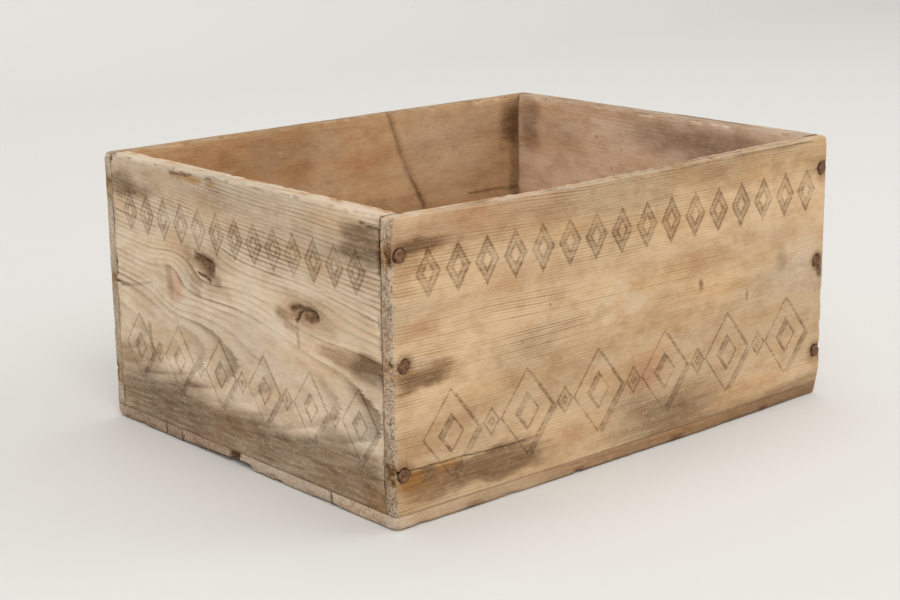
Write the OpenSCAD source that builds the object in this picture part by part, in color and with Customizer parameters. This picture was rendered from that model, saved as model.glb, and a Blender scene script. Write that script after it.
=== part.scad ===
// Nailed wooden crate, open at the top.
// Two long sides cover the end grain of two thicker ends, the walls stand on bottom
// boards that run lengthwise, and wire nails hold every joint.
// The origin is the middle of the underside: +X along the long sides, front at -Y, +Z up.

/* [Box] */
// Length over the long sides
box_l = 420; // [330:1:560]
// Width over the outer faces of the long sides
box_w = 328; // [270:1:400]
// Height from the underside to the rim
box_h = 200; // [150:1:260]

/* [Boards] */
// Thickness of the long sides
side_t = 10; // [8:0.5:14]
// Thickness of the ends
end_t = 16; // [13:0.5:22]
// Thickness of the bottom boards
bottom_t = 9.5; // [8:0.5:14]
// Width of the bottom board along the front
front_board_w = 66; // [50:1:90]
// Width of the narrow bottom strip
strip_w = 20; // [14:1:30]
// Width of the bottom board along the back
back_board_w = 67; // [50:1:90]
// Gap between neighbouring bottom boards
board_gap = 0.4; // [0.2:0.1:0.9]

/* [Worn edges] */
// Radius worn on the upright corners
corner_r = 3; // [1:0.5:6]
// Radius worn on the outer edge of the rim
rim_r = 2.5; // [1:0.5:4]
// Radius worn on the inner edge of the rim
arris_r = 1; // [0.5:0.25:3]
// Radius worn on the foot all round
foot_r = 2; // [1:0.5:4]
// How far along its edges each bottom corner is knocked round
toe_reach = 11; // [5:0.5:16]
// Depth of the hollow worn into the front rim
rim_dip = 1.8; // [0.5:0.1:4]
// Length of that hollow
rim_dip_l = 270; // [150:5:320]
// Distance of its middle from the left end of the box
rim_dip_x = 160; // [100:5:240]

/* [Broken foot] */
// Length of the splinter lost from the left foot of the middle board
splinter_l = 105; // [30:1:130]
// Greatest height of the lost splinter
splinter_h = 4; // [1:0.5:6]
// How far the lost splinter reached under the box
splinter_depth = 14; // [6:1:30]
// How far the splinter reached in front of the nail that it laid bare
splinter_ahead = 20; // [10:1:28]
// Distance of that nail from the end's face
bared_inset = 4; // [3:0.5:8]
// Width of the pocket in front of it
pocket_w = 10; // [7:0.5:16]
// Distance of the break from the front of the box, to the nearest nail
break_y = 178; // [120:1:200]

/* [Corner nails] */
// Nails in each upright corner
corner_nail_count = 3; // [2:1:5]
// Length of a corner nail
corner_nail_l = 50; // [35:1:65]
// Shank diameter of a corner nail
corner_shank_d = 2.8; // [2:0.1:4]
// Head diameter of a corner nail
corner_head_d = 8.5; // [5:0.5:10]
// Head thickness of a corner nail
corner_head_t = 1.2; // [0.8:0.1:2]
// Depth of the top nail below the rim
top_nail_drop = 24; // [12:1:40]
// Stagger of the nails to either side of the end's middle plane
nail_stagger = 1; // [0:0.25:2]
// How far a loosened head stands proud of the side
head_proud = 0.5; // [0:0.1:1]
// How far a driven head lies below the side's face
head_sink = 0.5; // [0:0.1:1]

/* [Bottom nails] */
// Length of a bottom nail
bottom_nail_l = 30; // [24:1:40]
// Shank diameter of a bottom nail
bottom_shank_d = 2.2; // [1.6:0.1:3]
// Head diameter of a bottom nail
bottom_head_d = 5.5; // [4:0.5:7]
// Head thickness of a bottom nail
bottom_head_t = 1; // [0.6:0.1:1.5]
// How far a bottom head lies above the underside
bottom_head_sink = 0.5; // [0.2:0.1:1]
// Spacing of the nails into an end, rounded to whole nails per board
end_nail_pitch = 42; // [30:1:70]
// Spacing of the nails into a long side, rounded to whole nails
side_nail_pitch = 95; // [60:5:140]
// Wood left between a bottom nail's point and the lowest corner nail
point_clear = 4; // [2:0.5:10]

/* [Fit] */
// Clearance of a nail in its hole
nail_fit = 0.05; // [0.02:0.01:0.1]

/* [Hidden] */
$fn = 64;

// Colours of the weathered boards and the rusted nails
side_wood = [0.70, 0.56, 0.39];
end_wood = [0.69, 0.57, 0.44];
bottom_wood = [0.60, 0.48, 0.35];
rust = [0.36, 0.24, 0.19];

// A nail is [head diameter, head thickness, shank diameter, length]
corner_nail = [corner_head_d, corner_head_t, corner_shank_d, corner_nail_l];
bottom_nail = [bottom_head_d, bottom_head_t, bottom_shank_d, bottom_nail_l];
// Proportions of a wire nail: rounded rim and cone of the head in head thicknesses,
// point length in shank diameters, blunt end of the point as a share of the shank
head_round = 0.4;
head_cone = 0.6;
point_length = 1.6;
point_blunt = 0.15;

// Bottom boards from the front to the back, as [front edge, width]
middle_board_w = box_w - front_board_w - strip_w - back_board_w - 3 * board_gap;
board_widths = [front_board_w, middle_board_w, strip_w, back_board_w];
function board_front(i) = i == 0 ? -box_w / 2 : board_front(i - 1) + board_widths[i - 1] + board_gap;

// Nail places: evenly spread over a length, from a nominal pitch
function spread(start, length, pitch) =
    let (count = max(1, round(length / pitch)))
    [for (i = [0 : count - 1]) start + length * (i + 0.5) / count];
function end_nails_y(i) = spread(board_front(i), board_widths[i], end_nail_pitch);
side_nails_x = spread(-box_l / 2 + end_t, box_l - 2 * end_t, side_nail_pitch);

// Corner nails from the lowest to the top one
low_nail_z = bottom_head_sink + bottom_nail_l + point_clear + corner_shank_d / 2;
corner_pitch = (box_h - top_nail_drop - low_nail_z) / (corner_nail_count - 1);
function odd(i) = i % 2 == 1;

// Circle through the ends and the lowest point of the worn hollow
rim_dip_r = rim_dip_l * rim_dip_l / (8 * rim_dip) + rim_dip / 2;
rim_dip_fn = 2000;
// Bottom nail of the middle board nearest to the break
function nearest(places, y) =
    let (least = min([for (place = places) abs(place - y)]))
    [for (place = places) if (abs(place - y) == least) place][0];
bared_nail_y = nearest(end_nails_y(1), break_y - box_w / 2);
// Height of the break above the ground at that nail, which was driven up to it
break_z = splinter_h * (1 - splinter_ahead / splinter_l);
function end_nail_x(y, broken) = broken && y == bared_nail_y ? bared_inset : end_t / 2;
function end_nail_z(y, broken) = bottom_head_sink + (broken && y == bared_nail_y ? break_z : 0);
// Overshoot that lets a cutter leave the wood cleanly
over = 1;

// Waste outside a rounded corner whose sides lie on the axes
module corner_waste(r) {
    difference() {
        translate([-over, -over]) square(r + over);
        translate([r, r]) circle(r);
    }
}

// Upright outline w wide and h high, standing on the axis, with worn corners
module worn_outline(w, h, low_r, top_r) {
    difference() {
        translate([-w / 2, 0]) square([w, h]);
        for (side = [0, 1]) mirror([side, 0]) {
            translate([-w / 2, 0]) corner_waste(low_r);
            translate([-w / 2, h]) mirror([0, 1]) corner_waste(top_r);
        }
    }
}

// Waste outside a knocked bottom corner: a ball through the ends of the knock on all three edges
module toe_waste() {
    difference() {
        translate(-[over, over, over]) cube(toe_reach + over);
        translate([toe_reach, toe_reach, toe_reach]) sphere(toe_reach * sqrt(2));
    }
}

// Outside of the assembled box after its corners and edges have worn round
module worn_envelope() {
    difference() {
        intersection() {
            translate([0, -box_w / 2, 0]) linear_extrude(box_h)
                worn_outline(box_l, box_w, corner_r, corner_r);
            rotate([90, 0, 0]) linear_extrude(box_w + 2 * over, center = true)
                worn_outline(box_l, box_h, foot_r, rim_r);
            rotate([90, 0, 90]) linear_extrude(box_l + 2 * over, center = true)
                worn_outline(box_w, box_h, foot_r, rim_r);
        }
        for (far = [0, 1], back = [0, 1]) mirror([far, 0, 0]) mirror([0, back, 0])
            translate([-box_l / 2, -box_w / 2, 0]) toe_waste();
    }
}

// Wall board standing on the bottom: outer face on y = 0, inner rim edge worn
module wall_board(l, t) {
    rotate([90, 0, 90]) linear_extrude(l, center = true) difference() {
        translate([0, bottom_t]) square([t, box_h - bottom_t]);
        translate([t, box_h]) rotate(180) corner_waste(arris_r);
    }
}

// Long side against the front, without holes
module side_blank() {
    intersection() {
        worn_envelope();
        translate([0, -box_w / 2, 0]) wall_board(box_l, side_t);
    }
}

// End against the left, between the long sides, without holes
module end_blank() {
    intersection() {
        worn_envelope();
        translate([-box_l / 2, 0, 0]) rotate([0, 0, -90]) wall_board(box_w - 2 * side_t, end_t);
    }
}

// Bottom board number i, counted from the front, without holes
module bottom_blank(i) {
    intersection() {
        worn_envelope();
        translate([-box_l / 2, board_front(i), 0]) cube([box_l, board_widths[i], bottom_t]);
    }
}

// Nail along +Z with the top of its head on z = 0
module nail(n) {
    head_r = n[0] / 2;
    shank_r = n[2] / 2;
    rotate_extrude() polygon([
        [0, 0], [head_r - head_round * n[1], 0], [head_r, head_round * n[1]], [head_r, n[1]],
        [shank_r, (1 + head_cone) * n[1]], [shank_r, n[3] - point_length * n[2]],
        [shank_r * point_blunt, n[3]], [0, n[3]]
    ]);
}

// Hole of the same nail, open at the head
module nail_hole(n) {
    head_r = n[0] / 2 + nail_fit;
    shank_r = n[2] / 2 + nail_fit;
    rotate_extrude() polygon([
        [0, -over], [head_r, -over], [head_r, n[1] + nail_fit],
        [shank_r, (1 + head_cone) * n[1] + nail_fit], [shank_r, n[3] - point_length * n[2]],
        [shank_r * point_blunt + nail_fit, n[3] + nail_fit], [0, n[3] + nail_fit]
    ]);
}

// Puts its children at each nail of the front left corner, pointing into the end
module at_corner_nails() {
    for (i = [0 : corner_nail_count - 1]) {
        x = -box_l / 2 + end_t / 2 + (odd(i) ? nail_stagger : -nail_stagger);
        y = -box_w / 2 + (odd(i) ? head_sink : -head_proud);
        translate([x, y, low_nail_z + i * corner_pitch]) rotate([-90, 0, 0]) children();
    }
}

// Puts its children at each nail of bottom board i into the left end, whole or broken
module at_end_nails(i, broken) {
    for (y = end_nails_y(i))
        translate([-box_l / 2 + end_nail_x(y, broken), y, end_nail_z(y, broken)]) children();
}

// Puts its children at each bottom nail into the front side
module at_side_nails() {
    for (x = side_nails_x)
        translate([x, -box_w / 2 + side_t / 2, bottom_head_sink]) children();
}

// All bottom nails into the left end, whole or broken
module at_all_end_nails(broken) {
    for (i = [0 : len(board_widths) - 1]) at_end_nails(i, broken) children();
}

// Hollow worn into the front rim by handling
module rim_hollow() {
    translate([-box_l / 2 + rim_dip_x, -box_w / 2 - over, box_h - rim_dip + rim_dip_r])
        rotate([-90, 0, 0]) cylinder(r = rim_dip_r, h = side_t + 2 * over, $fn = rim_dip_fn);
}

// Splinter torn from the left foot of the middle board, highest on its front side,
// with a pocket that lays one bottom nail bare
module broken_foot() {
    translate([-box_l / 2 - over, bared_nail_y - splinter_ahead, 0])
        rotate([90, 0, 90]) linear_extrude(splinter_depth + over)
            polygon([[0, -over], [splinter_l, -over], [splinter_l, 0], [0, splinter_h]]);
    translate([-box_l / 2, bared_nail_y, -over]) linear_extrude(bottom_t + 2 * over) {
        translate([bared_inset - pocket_w / 2, 0]) circle(d = pocket_w);
        translate([-over, -pocket_w / 2]) square([max(bared_inset - pocket_w / 2, 0) + over, pocket_w]);
    }
}

module front_side() {
    color(side_wood) difference() {
        side_blank();
        rim_hollow();
        for (far = [0, 1]) mirror([far, 0, 0]) at_corner_nails() nail_hole(corner_nail);
        at_side_nails() nail_hole(bottom_nail);
    }
}

module back_side() {
    color(side_wood) mirror([0, 1, 0]) difference() {
        side_blank();
        for (far = [0, 1]) mirror([far, 0, 0]) at_corner_nails() nail_hole(corner_nail);
        at_side_nails() nail_hole(bottom_nail);
    }
}

// End drilled for its nails, over a whole or a broken foot
module drilled_end(broken) {
    difference() {
        end_blank();
        for (far = [0, 1]) mirror([0, far, 0]) at_corner_nails() nail_hole(corner_nail);
        at_all_end_nails(broken) nail_hole(bottom_nail);
    }
}

module left_end() {
    color(end_wood) drilled_end(true);
}

module right_end() {
    color(end_wood) mirror([1, 0, 0]) drilled_end(false);
}

// Bottom board i drilled for its nails into the ends
module drilled_bottom(i) {
    difference() {
        bottom_blank(i);
        for (far = [0, 1]) mirror([far, 0, 0]) at_end_nails(i, far == 0) nail_hole(bottom_nail);
    }
}

module bottom_board_front() {
    color(bottom_wood) difference() {
        drilled_bottom(0);
        at_side_nails() nail_hole(bottom_nail);
    }
}

module bottom_board_middle() {
    color(bottom_wood) difference() {
        drilled_bottom(1);
        broken_foot();
    }
}

module bottom_strip() {
    color(bottom_wood) drilled_bottom(2);
}

module bottom_board_back() {
    color(bottom_wood) difference() {
        drilled_bottom(3);
        mirror([0, 1, 0]) at_side_nails() nail_hole(bottom_nail);
    }
}

module nails_front_left() {
    color(rust) at_corner_nails() nail(corner_nail);
}

module nails_front_right() {
    mirror([1, 0, 0]) nails_front_left();
}

module nails_back_left() {
    mirror([0, 1, 0]) nails_front_left();
}

module nails_back_right() {
    mirror([0, 1, 0]) nails_front_right();
}

module nails_bottom_left() {
    color(rust) at_all_end_nails(true) nail(bottom_nail);
}

module nails_bottom_right() {
    color(rust) mirror([1, 0, 0]) at_all_end_nails(false) nail(bottom_nail);
}

module nails_bottom_front() {
    color(rust) at_side_nails() nail(bottom_nail);
}

module nails_bottom_back() {
    mirror([0, 1, 0]) nails_bottom_front();
}

front_side();
back_side();
left_end();
right_end();
bottom_board_front();
bottom_board_middle();
bottom_strip();
bottom_board_back();
nails_front_left();
nails_front_right();
nails_back_left();
nails_back_right();
nails_bottom_left();
nails_bottom_right();
nails_bottom_front();
nails_bottom_back();
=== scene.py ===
import math

import bmesh
import bpy
import numpy as np
from mathutils import Matrix, Vector


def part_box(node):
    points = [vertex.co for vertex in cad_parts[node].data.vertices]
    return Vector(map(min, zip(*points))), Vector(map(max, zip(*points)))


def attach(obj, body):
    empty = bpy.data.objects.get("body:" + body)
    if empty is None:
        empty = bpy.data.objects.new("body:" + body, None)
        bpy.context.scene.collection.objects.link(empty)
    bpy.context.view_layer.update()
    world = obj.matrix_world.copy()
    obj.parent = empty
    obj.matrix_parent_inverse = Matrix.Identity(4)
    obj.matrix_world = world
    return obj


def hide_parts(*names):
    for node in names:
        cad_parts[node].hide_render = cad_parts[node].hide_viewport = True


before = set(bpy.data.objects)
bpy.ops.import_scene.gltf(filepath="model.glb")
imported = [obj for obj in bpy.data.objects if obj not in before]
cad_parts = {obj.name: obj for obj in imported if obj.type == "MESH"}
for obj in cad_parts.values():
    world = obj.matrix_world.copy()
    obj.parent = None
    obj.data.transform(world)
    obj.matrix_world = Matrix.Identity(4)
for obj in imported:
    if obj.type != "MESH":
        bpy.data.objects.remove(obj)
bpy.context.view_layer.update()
mm = 0.001  # pieces are worked out in millimetres, the frame is in metres


def nodeBox(node):  # low and high corner of a CAD node, in mm
    low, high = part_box(node)
    return np.array(low) / mm, np.array(high) / mm


leftX, frontY = nodeBox("front_side")[0][:2]
rightX, backY = nodeBox("back_side")[1][:2]
rimZ = nodeBox("left_end")[1][2]
floorTop = nodeBox("left_end")[0][2]  # top of the bottom boards, where the walls stand
print("frame: box", rightX - leftX, backY - frontY, rimZ)


# Noise and easing

hashSteps = (374761393, 668265263, 1440662683, 974634521)  # large odd numbers, one for each input
hashTurn = 1274126177
word, halfWord = 0xFFFFFFFF, 0xFFFF  # numbers are kept to 32 bits, and the last 16 give the value


def ease(low, high, x):  # 0 below low, 1 above high, smooth between; high may be the lower one
    s = np.clip((x - low) / (high - low), 0, 1)
    return s * s * (3 - 2 * s)


def latticeValue(*place):  # the same number 0..1 for the same lattice point and seed
    n = sum(value * step for value, step in zip(place, hashSteps)) & word
    n = ((n ^ (n >> 13)) * hashTurn) & word
    return ((n ^ (n >> 16)) & halfWord) / halfWord


def noise(points, cell, seed):  # value noise: eased blend of the eight lattice values round each point
    q = points / np.asarray(cell, float)
    base = np.floor(q).astype(np.int64)
    f = ease(0, 1, q - base)
    total = np.zeros(points.shape[:-1])
    for corner in np.ndindex(2, 2, 2):
        weight = np.prod(np.where(corner, f, 1 - f), axis=-1)
        total += weight * latticeValue(*np.moveaxis(base + corner, -1, 0), seed)
    return total


def fractal(points, cell, seed, octaves=4):  # octaves of noise, each half as large and as strong, 0..1
    cell = np.asarray(cell, float)
    strengths = 0.5 ** np.arange(octaves)
    layers = [s * noise(points, cell * s, seed + 7 * n) for n, s in enumerate(strengths)]
    return sum(layers) / strengths.sum()


# Board surface: a rounded section carried along the grain, closed by shrinking rings at both ends

capClose = 0.985  # how far a cap's innermost ring is drawn in to the board's middle line
sampleCount = 4001  # places at which the density of stations is summed


def stations(length, step, finer=()):  # places from 0 to length, closer round each (place, reach, step)
    x = np.linspace(0, length, sampleCount)
    density = np.full(x.shape, 1 / step)
    for place, reach, fineStep in finer:
        density = np.maximum(density, ease(1.6 * reach, reach, abs(x - place)) / fineStep)
    steps = np.concatenate([[0], np.cumsum((density[1:] + density[:-1]) / 2 * np.diff(x))])
    return np.interp(np.linspace(0, steps[-1], int(np.ceil(steps[-1])) + 1), steps, x)


def roundedSection(thick, high, edges, outerH, innerH, rimT):
    # closed loop of (depth, height) and its outward normal: up the outer face, over the rim,
    # down the inner face and along the foot, with a quarter circle at each corner
    def quarter(depth, height, radius, start):  # clockwise from the start angle
        turn = np.radians(np.linspace(start, start - 90, edges["turns"], endpoint=False))
        c, s = np.cos(turn), np.sin(turn)
        return np.stack([depth + radius * c, height + radius * s, c, s])

    def straight(*line):  # depth, height and normal, without the last place, where the next part starts
        return np.stack(np.broadcast_arrays(*line))[:, :-1]

    outerTop, innerTop = edges["outerTop"], edges["innerTop"]
    outerFoot, innerFoot = edges["outerFoot"], edges["innerFoot"]
    footT = np.linspace(innerFoot, thick - outerFoot, max(4, int(thick / 1.5)))
    return np.concatenate([
        straight(0, outerFoot + outerH, -1, 0),
        quarter(outerTop, high - outerTop, outerTop, 180),
        straight(outerTop + rimT, high, 0, 1),
        quarter(thick - innerTop, high - innerTop, innerTop, 90),
        straight(thick, high - innerTop - innerH, 1, 0),
        quarter(thick - innerFoot, innerFoot, innerFoot, 0),
        straight(thick - footT, 0, 0, -1),
        quarter(outerFoot, outerFoot, outerFoot, -90),
    ], axis=1)


def roundCorner(place, size, first, second, radius):
    # squeeze the square corner where two faces meet onto a quarter disc: with u and v the distances short
    # of the radius, both shrink by max(u, v) / hypot(u, v); a face is (axis, 0 for low or 1 for high)
    place = list(place)
    u, v = (np.maximum(radius - abs(size[i] * high - place[i]), 0) for i, high in (first, second))
    kept = np.maximum(u, v) / np.maximum(np.hypot(u, v), 1e-9)
    for (i, high), short in ((first, u), (second, v)):
        place[i] = place[i] + (1 - 2 * high) * short * (1 - kept)
    return place


def boardGrid(board):
    # every grid point's place along the grain (a), depth from the outer face (t) and height (h), with its
    # normal: a ring of the section at each station, turned over the ends and shrunk across the caps
    low, high = nodeBox(board["node"])
    axes = np.array([board["along"], board["inward"], board["up"]], float)
    size = abs(axes @ (high - low))
    corner = np.where(axes.sum(0) > 0, low, high)
    length, thick, tall = size
    edges, steps = board["edges"], board["steps"]
    fineAlong = [(place % length, reach, step) for place, reach, step in steps["fineAlong"]]
    outerH = stations(tall - edges["outerTop"] - edges["outerFoot"], steps["outer"], steps["fineUp"])
    innerH = stations(tall - edges["innerTop"] - edges["innerFoot"], steps["inner"], steps["fineInner"])
    rimT = stations(thick - edges["outerTop"] - edges["innerTop"], steps["rim"])
    depth, height, outT, outH = roundedSection(thick, tall, edges, outerH, innerH, rimT)
    rimMiddle = np.argmin(np.hypot(depth - thick / 2, height - tall))
    footMiddle = np.argmin(np.hypot(depth - thick / 2, height))
    endR = edges["end"]
    capShrink = np.linspace(capClose, 0, steps["cap"] + 1)[:-1]
    turn = np.radians(np.linspace(0, 90, edges["turns"] + 1))
    straight = endR + stations(length - 2 * endR, steps["along"], fineAlong)
    caps, turns, middle = (np.zeros(len(part)) for part in (capShrink, turn, straight))
    # each ring's end or station, which way is inward there, its turn over the end's edge, and its shrinking
    start = np.concatenate([caps, turns, straight, turns + length, caps + length])[:, None]
    sign = np.concatenate([caps + 1, turns + 1, middle, turns - 1, caps - 1])[:, None]
    phi = np.concatenate([caps, turn, middle + math.pi / 2, turn[::-1], caps])[:, None]
    shrink = np.concatenate([capShrink, turns, middle, turns, capShrink[::-1]])[:, None]
    inset = endR * (1 - np.sin(phi))
    a = start + sign * endR * (1 - np.cos(phi)) + 0 * depth
    t = depth - inset * outT
    h = height - inset * outH
    half = min(thick, tall) / 2
    t = t + (np.clip(t, half, thick - half) - t) * shrink
    h = h + (np.clip(h, half, tall - half) - h) * shrink
    for first, second, radius in edges["corners"]:
        a, t, h = roundCorner((a, t, h), size, first, second, radius)
    normal = np.broadcast_arrays(-sign * np.cos(phi), outT * np.sin(phi), outH * np.sin(phi))
    return {"a": a, "t": t, "h": h, "normal": np.stack(normal, axis=-1), "size": size, "axes": axes,
            "corner": corner, "endCap": np.cos(phi) ** 2 + 0 * t, "loop": (height, rimMiddle, footMiddle)}


def toWorld(g):  # grid places to points of the frame, in mm: corner + a * along + t * inward + h * up
    return g["corner"] + np.stack([g["a"], g["t"], g["h"]], axis=-1) @ g["axes"]


def faceMap(points, face):  # (along, across) on a face seen from outside, across measured down from the rim
    x, y, z = np.moveaxis(points, -1, 0)
    along = {"left": backY - y, "back": rightX - x, "right": y - frontY}.get(face, x - leftX)
    return along, (y - frontY if face == "under" else rimZ - z)


# Nails of the frame

def nailAxis(node):  # bottom nails point up, the others across the box
    return 2 if "bottom" in node else 1


def nailPlaces(node):  # middle and extent of each nail in a CAD group, in mm, parted at gaps between vertices
    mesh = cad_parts[node].data
    co = np.zeros(len(mesh.vertices) * 3)
    mesh.vertices.foreach_get("co", co)
    co = co.reshape(-1, 3) / mm
    spread = max({0, 1, 2} - {nailAxis(node)}, key=lambda i: np.ptp(co[:, i]))
    co = co[np.argsort(co[:, spread])]
    nailGap = 8
    groups = np.split(co, np.flatnonzero(np.diff(co[:, spread]) > nailGap) + 1)
    return [((g.min(0) + g.max(0)) / 2, g.max(0) - g.min(0)) for g in groups]


nails = {name: nailPlaces(name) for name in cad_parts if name.startswith("nails")}
breakY = frontY + 178  # where the left foot broke
barePlace = min((c[1] for c, _ in nails["nails_bottom_left"]), key=lambda y: abs(y - breakY))
print("nails:", sum(map(len, nails.values())))


def boardNails(board, points):  # each nail through the outer face: distance from its axis, head's radius
    across = 1 if board["face"] == "under" else 2
    low, high = nodeBox(board["node"])
    for name in board["nails"]:
        for centre, extent in nails[name]:
            if low[across] < centre[across] < high[across]:
                away = np.hypot(points[..., 0] - centre[0], points[..., across] - centre[across])
                yield away, extent[0] / 2


# Wear: shapes worn into one board, then the dents, chips, nail pits and splits that all have

hollow = {"deep": 1.8, "middle": 160, "half": 150, "reach": 22}  # in the front rim
heel = {"deep": 2.6, "from": 285, "long": 125, "high": 12}  # bevel on the front foot
splinter = {"deep": 4, "from": -20, "to": 85, "reach": (17, 11)}  # lost beside the bared nail
pocket = {"deep": 4.2, "half": (6, 3), "reach": 16}  # in front of that nail
toeReach = 11  # how far along its edges each bottom corner is knocked round


def hollowRim(g, points):  # the front rim is worn into a shallow parabola, deepest left of its middle
    along, down = faceMap(points, "front")
    arch = np.clip(1 - ((along - hollow["middle"]) / hollow["half"]) ** 2, 0, 1)
    g["h"] -= hollow["deep"] * arch * ease(hollow["reach"], 0, down)


def wornHeel(g, points):  # the front foot is rubbed to a bevel that grows towards the right corner
    grown = np.clip((points[..., 0] - leftX - heel["from"]) / heel["long"], 0, 1)
    slope = np.clip((floorTop + heel["high"] * grown - points[..., 2]) / heel["high"], 0, 1.6)
    axis, reach = ("t", g["size"][1]) if g["axes"][1][1] > 0.5 else ("h", heel["high"])
    g[axis] += heel["deep"] * grown ** 0.7 * slope * np.clip(1 - g[axis] / reach, 0, 1)


def wornFront(g, points):  # the front side: hollow rim, then worn heel
    hollowRim(g, points)
    wornHeel(g, points)


def knockedToes(g, points):
    # bottom corners: with a centre toeReach inside the three faces, points farther from it than
    # toeReach * sqrt(2) are drawn in to that ball, which meets the edges where the knock ends
    length, _, wide = g["size"]
    atFront = points[..., 1].min() < (frontY + backY) / 2
    toSide = g["h"] if atFront else wide - g["h"]
    inward = toeReach - np.stack([np.minimum(g["a"], length - g["a"]), g["t"], toSide])
    away = np.linalg.norm(inward, axis=0)
    pull = (inward > 0).all(0) * np.maximum(1 - toeReach * math.sqrt(2) / np.maximum(away, 1), 0)
    g["a"] += np.where(g["a"] < length / 2, 1, -1) * pull * inward[0]
    g["t"] += pull * inward[1]
    g["h"] += (1 if atFront else -1) * pull * inward[2]


def wornFoot(g, points):  # the front bottom board: worn heel, then knocked corners
    wornHeel(g, points)
    knockedToes(g, points)


def brokenFoot(g, points):  # a wedge split from the left foot, and a ragged pocket at one bottom nail
    past = points[..., 1] - barePlace
    ragged = fractal(points, 6, 61)
    wedge = np.clip((splinter["to"] - past) / (splinter["to"] - splinter["from"]), 0, 1)
    lost = splinter["deep"] * wedge * (past > splinter["from"]) * ease(*splinter["reach"], g["a"])
    g["t"] += lost * (0.75 + 0.5 * ragged) * (1 - g["t"] / g["size"][1])
    dug = pocket["deep"] * ease(*pocket["half"], abs(past) + 3 * (ragged - 0.5))
    g["a"] += dug * ease(pocket["reach"], 0, g["a"])


def strokeShape(stroke, along, down, core=0.2):
    # amount on a bent line, eased to 0 at its width, which changes from end to end; core is the full part
    startWidth, endWidth, amount, *places = stroke
    best = np.full(along.shape, 1e9)
    width = np.ones(along.shape)
    for n, ((x0, d0), (x1, d1)) in enumerate(zip(places, places[1:])):
        dx, dd = x1 - x0, d1 - d0
        s = np.clip(((along - x0) * dx + (down - d0) * dd) / (dx * dx + dd * dd), 0, 1)
        away = np.hypot(along - x0 - s * dx, down - d0 - s * dd)
        here = np.interp((n + s) / (len(places) - 1), [0, 1], [startWidth, endWidth])
        width = np.where(away < best, here, width)
        best = np.minimum(best, away)
    return amount * ease(width, core * width, best)


def strokeLayer(board, layer, side, where):  # the strongest of a board's strokes in one layer
    along, down = where["bent" if layer == "hollow" else "soft"]
    core = 0.5 if layer == "crack" else 0.2
    strokes = board["strokes"].get((layer, side), ())
    return np.max([0 * along, *(strokeShape(stroke, along, down, core) for stroke in strokes)], axis=0)


def rimStrokes(board, g, where):  # splits along the top of the rim, placed by (along, depth)
    along = where["bent"][0]
    top = ease(0.4, 0.8, g["normal"][..., 2])
    return np.max([0 * along, *(top * strokeShape(stroke, along, g["t"]) for stroke in board["rim"])], axis=0)


def edgeNear(board, g):  # distance to the nearest edge, in mm, and how far that edge is open to knocks
    _, thick, tall = g["size"]
    gaps = [np.minimum(g[axis], whole - g[axis]) for axis, whole in zip("ath", g["size"])]
    top = ease(10, 4, tall - g["h"])
    opened = ease(0.7 * thick, 0.4 * thick, g["t"])
    if board["face"] in ("left", "right"):
        opened = 0.7 * opened * ease(0.45, 0.7, noise(toWorld(g), (30, 30, 22), board["seed"] + 5))
    if board["face"] != "under":
        opened = np.maximum(top, opened) * ease(1, 9, g["h"])
    return np.sort(gaps, axis=0)[1], opened


wearDeep = {  # in mm, each where it is strongest
    "waves": 0.3, "grain": 0.22, "rubbed": 0.7, "bitten": 2.0, "sawn": 0.3, "pit": 1.4, "dish": 0.3,
    "crumbs": 1.3, "crack": 1.6, "hollow": 1.3,
}


def wearDepth(board, g, points, where, grain):
    # how far the surface stands out, in mm, less than 0 where wood is gone: the sum of waves, rough grain,
    # rubbed and bitten edges, sawn ends, nail pits, splits and hollows
    edge, opened = edgeNear(board, g)
    deep = wearDeep
    depth = deep["waves"] * (fractal(points, (90, 90, 40), 3, 3) - 0.5)
    depth += deep["grain"] * (fractal(grain, (14, 3, 3), 5, 3) - 0.5)
    depth -= deep["rubbed"] * ease(7, 0, edge) * fractal(points, (26, 26, 14), 9, 3) * opened
    bites = ease(0.56, 0.74, fractal(points, (10, 10, 7), 21, 3))
    depth -= deep["bitten"] * ease(3.4, 0.4, edge) * bites * opened
    depth += deep["sawn"] * (fractal(points, 4, 33, 2) - 0.5) * g["endCap"]
    outer = ease(0.3, 0.8, -g["normal"][..., 1])
    for away, headR in boardNails(board, points):
        pit = deep["pit"] * ease(headR + 1.2, headR, away + g["torn"])
        depth -= outer * (pit + deep["dish"] * ease(10, 5, away))
        depth -= deep["crumbs"] * g["wallEnd"] * g["crumbs"] * ease(13, 6, away)
    for layer in ("crack", "hollow"):
        depth -= outer * deep[layer] * strokeLayer(board, layer, "out", where)
    return depth - rimStrokes(board, g, where)


# Growth rings, stains and painted shade

knotReach, knotPull = (2.4, 1.9), 0.85  # rings bend over this many halves of a knot, and this strongly
pithReach = 22  # in mm from the pith, over which young wood has wider rings
stainRun, stainSway = 24, 16  # how far a stain's ragged edge runs along and across the grain, in mm
# cracks, hollows and rim splits are darkened as well as carved: painted shade in the grooves, with dirt and
# the dark wood of knots
grooveShadeAndDark = {"crack": 0.95, "hollow": 0.8075, "rim": 0.85}
soil = {  # stains that every board has, and painted shade in the nail pits, each where it is strongest
    "seam": 0.85, "endSeam": 0.8, "chip": 0.55, "edgePale": 0.4, "nailRust": 0.7, "nailWarm": 0.9,
    "nailDirt": 0.4, "crumbs": 0.75, "pit": 0.8,
}


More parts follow.
